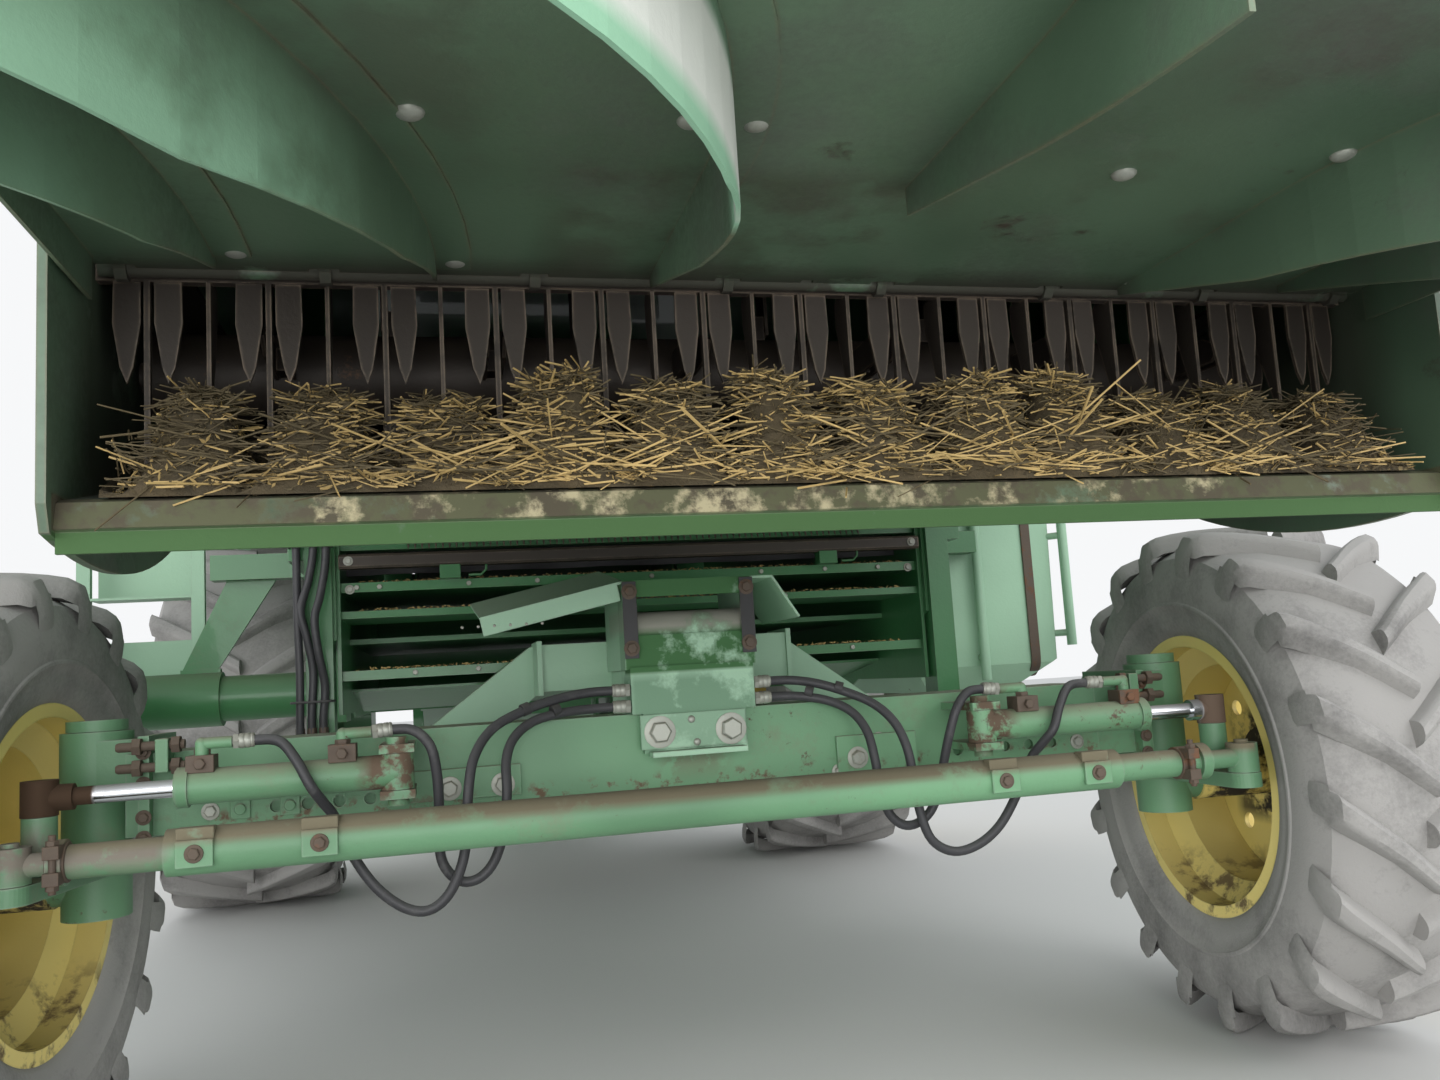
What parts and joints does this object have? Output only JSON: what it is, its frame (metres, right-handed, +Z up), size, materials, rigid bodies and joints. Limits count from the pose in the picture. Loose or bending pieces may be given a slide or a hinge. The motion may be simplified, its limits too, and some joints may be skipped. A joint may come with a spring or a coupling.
{
  "type": "combine harvester",
  "caption": "Grain harvester without header: cab, grain tank, unloading auger, steered rear axle, straw chopper with tilting spreader board.",
  "frame": {"origin": "on the ground under the middle of the machine's overall length and width", "axes": "+Y points to the front, +X to the machine's right, +Z up"},
  "size_m": [3.8597, 8.3, 3.98],
  "materials": {
    "green_paint": "satin, dusty",
    "light_green_paint": "faded satin",
    "yellow_paint": "dusty gloss",
    "black_paint": "matte",
    "tyre_rubber": "dusty",
    "hose_rubber": "oily",
    "knife_steel": "worn, dirty",
    "chrome_rod": "bright",
    "cast_engine": "rough",
    "window_glass": "clear",
    "seat_fabric": "woven",
    "dark_plastic": "grained"
  },
  "bodies": {
    "machine": {"chassis_frame": "green_paint", "front_axle": "green_paint", "separator_body": "green_paint", "cleaning_shoe": "green_paint", "rear_hood": "green_paint", "chopper_housing": "green_paint", "counter_knives": "knife_steel", "grain_tank": "green_paint", "engine_block": "cast_engine", "cooling_pack": "black_paint", "engine_hood": "green_paint", "cab_shell": "green_paint", "cab_glass": "window_glass", "operator_seat": "seat_fabric", "steering_column": "dark_plastic", "cab_platform": "green_paint", "front_ladder": "light_green_paint", "service_ladder": "light_green_paint", "fuel_tank": "light_green_paint", "grain_elevator": "green_paint", "cross_auger": "green_paint", "axle_pivot": "light_green_paint", "axle_beam": "green_paint", "axle_hoses": "hose_rubber", "auger_turret": "green_paint", "exhaust_stack": "black_paint", "lamps_and_mirrors": "dark_plastic"},
    "left_knuckle": {"rear_knuckle_left": "green_paint"},
    "right_knuckle": {"rear_knuckle_right": "green_paint"},
    "rear_wheel_left": {"rear_rim_left": "yellow_paint", "rear_tyre_left": "tyre_rubber"},
    "rear_wheel_right": {"rear_rim_right": "yellow_paint", "rear_tyre_right": "tyre_rubber"},
    "tie_rod": {"tie_rod": "green_paint"},
    "steer_cylinder_left": {"steer_barrel_left": "green_paint"},
    "steer_piston_left": {"steer_rod_left": "chrome_rod"},
    "steer_cylinder_right": {"steer_barrel_right": "green_paint"},
    "steer_piston_right": {"steer_rod_right": "chrome_rod"},
    "front_wheel_left": {"front_rim_left": "yellow_paint", "front_tyre_left": "tyre_rubber"},
    "front_wheel_right": {"front_rim_right": "yellow_paint", "front_tyre_right": "tyre_rubber"},
    "feeder_house": {"feeder_house": "green_paint"},
    "feeder_drum": {"feeder_drum": "knife_steel"},
    "lift_cylinder_left": {"lift_barrel_left": "green_paint"},
    "lift_piston_left": {"lift_rod_left": "chrome_rod"},
    "lift_cylinder_right": {"lift_barrel_right": "green_paint"},
    "lift_piston_right": {"lift_rod_right": "chrome_rod"},
    "chopper_rotor": {"chopper_rotor": "knife_steel"},
    "tailboard": {"tailboard": "green_paint"},
    "unloading_auger": {"unloading_auger": "green_paint", "auger_spout": "hose_rubber"},
    "cab_door": {"cab_door": "green_paint", "door_glass": "window_glass"},
    "side_shield_left": {"side_shield_left": "green_paint"},
    "side_shield_right": {"side_shield_right": "green_paint"},
    "rotary_screen": {"rotary_screen": "black_paint"}
  },
  "joints": [
    {"name": "rear_steer_left", "type": "hinge", "parent": "machine", "child": "left_knuckle", "pos_m": [-1.33, -1.95, 0.675], "axis": [0, 0, 1], "range_deg": [-25.7, 38.3]},
    {"name": "rear_steer_right", "type": "hinge", "parent": "machine", "child": "right_knuckle", "pos_m": [1.33, -1.95, 0.675], "axis": [0, 0, 1], "range_deg": [-25.7, 38.3]},
    {"name": "rear_wheel_left_spin", "type": "hinge", "parent": "left_knuckle", "child": "rear_wheel_left", "pos_m": [-1.62421, -1.91752, 0.675], "axis": [0.994, -0.1097, 0], "continuous": true},
    {"name": "rear_wheel_right_spin", "type": "hinge", "parent": "right_knuckle", "child": "rear_wheel_right", "pos_m": [1.62421, -1.98248, 0.675], "axis": [0.994, -0.1097, 0], "continuous": true},
    {"name": "tie_rod_swivel", "type": "hinge", "parent": "left_knuckle", "child": "tie_rod", "pos_m": [-1.37389, -2.34758, 0.752], "axis": [0, 0, 1], "range_deg": [-38.3, 25.7]},
    {"name": "steer_cylinder_left_swing", "type": "hinge", "parent": "machine", "child": "steer_cylinder_left", "pos_m": [-0.68, -2.205, 0.865], "axis": [0, 0, 1], "range_deg": [-3.96, 0.26]},
    {"name": "steer_rod_left_slide", "type": "slide", "parent": "steer_cylinder_left", "child": "steer_piston_left", "axis": [-0.9994, -0.0342, 0], "range_m": [-0.17752, 0.11912]},
    {"name": "steer_cylinder_right_swing", "type": "hinge", "parent": "machine", "child": "steer_cylinder_right", "pos_m": [0.68, -2.205, 0.865], "axis": [0, 0, 1], "range_deg": [-0.06, 4.16]},
    {"name": "steer_rod_right_slide", "type": "slide", "parent": "steer_cylinder_right", "child": "steer_piston_right", "axis": [0.9993, -0.0376, 0], "range_m": [-0.11912, 0.17752]},
    {"name": "front_wheel_left_spin", "type": "hinge", "parent": "machine", "child": "front_wheel_left", "pos_m": [-1.51, 1.8, 0.925], "axis": [1, 0, 0], "continuous": true},
    {"name": "front_wheel_right_spin", "type": "hinge", "parent": "machine", "child": "front_wheel_right", "pos_m": [1.51, 1.8, 0.925], "axis": [1, 0, 0], "continuous": true},
    {"name": "feeder_lift", "type": "hinge", "parent": "machine", "child": "feeder_house", "pos_m": [0, 1.55, 1.6], "axis": [1, 0, 0], "range_deg": [-8, 18]},
    {"name": "lift_cylinder_left_swing", "type": "hinge", "parent": "machine", "child": "lift_cylinder_left", "pos_m": [-0.45, 1.9, 0.75], "axis": [1, 0, 0], "range_deg": [-9.82, 22.1]},
    {"name": "lift_rod_left_slide", "type": "slide", "parent": "lift_cylinder_left", "child": "lift_piston_left", "axis": [0, 0.999, 0.0455], "range_m": [-0.12292, 0.27657]},
    {"name": "lift_cylinder_right_swing", "type": "hinge", "parent": "machine", "child": "lift_cylinder_right", "pos_m": [0.45, 1.9, 0.75], "axis": [1, 0, 0], "range_deg": [-9.82, 22.1]},
    {"name": "lift_rod_right_slide", "type": "slide", "parent": "lift_cylinder_right", "child": "lift_piston_right", "axis": [0, 0.999, 0.0455], "range_m": [-0.12292, 0.27657]},
    {"name": "feeder_drum_spin", "type": "hinge", "parent": "feeder_house", "child": "feeder_drum", "pos_m": [0, 3.48, 0.9705], "axis": [1, 0, 0], "continuous": true},
    {"name": "chopper_spin", "type": "hinge", "parent": "machine", "child": "chopper_rotor", "pos_m": [0, -2.815, 1.56], "axis": [1, 0, 0], "continuous": true},
    {"name": "tailboard_tilt", "type": "hinge", "parent": "machine", "child": "tailboard", "pos_m": [0, -3.1, 1.64], "axis": [1, 0, 0], "range_deg": [-15, 25]},
    {"name": "auger_swing", "type": "hinge", "parent": "machine", "child": "unloading_auger", "pos_m": [-1.71, 1.1, 3.13], "axis": [0, 0, 1], "range_deg": [-105, 0]},
    {"name": "cab_door_swing", "type": "hinge", "parent": "machine", "child": "cab_door", "pos_m": [-0.872, 1.987, 2.85], "axis": [0, 0, 1], "range_deg": [0, 80]},
    {"name": "side_shield_left_lift", "type": "hinge", "parent": "machine", "child": "side_shield_left", "pos_m": [-1.6, -0.055, 2.465], "axis": [0, 1, 0], "range_deg": [0, 85]},
    {"name": "side_shield_right_lift", "type": "hinge", "parent": "machine", "child": "side_shield_right", "pos_m": [1.6, -0.055, 2.465], "axis": [0, -1, 0], "range_deg": [0, 85]},
    {"name": "rotary_screen_spin", "type": "hinge", "parent": "machine", "child": "rotary_screen", "pos_m": [1.186, -1.19, 2.9], "axis": [1, 0, 0], "continuous": true}
  ],
  "couplings": [
    {"joint": "rear_steer_right", "follows": "rear_steer_left", "ratio": 1},
    {"joint": "tie_rod_swivel", "follows": "rear_steer_left", "ratio": -1},
    {"joint": "steer_rod_left_slide", "follows": "rear_steer_left", "m_per_rad": -0.26557},
    {"joint": "steer_rod_right_slide", "follows": "rear_steer_left", "m_per_rad": 0.26557},
    {"joint": "lift_cylinder_left_swing", "follows": "feeder_lift", "ratio": 1.228},
    {"joint": "lift_rod_left_slide", "follows": "feeder_lift", "m_per_rad": 0.88035},
    {"joint": "lift_cylinder_right_swing", "follows": "feeder_lift", "ratio": 1.228},
    {"joint": "lift_rod_right_slide", "follows": "feeder_lift", "m_per_rad": 0.88035}
  ]
}
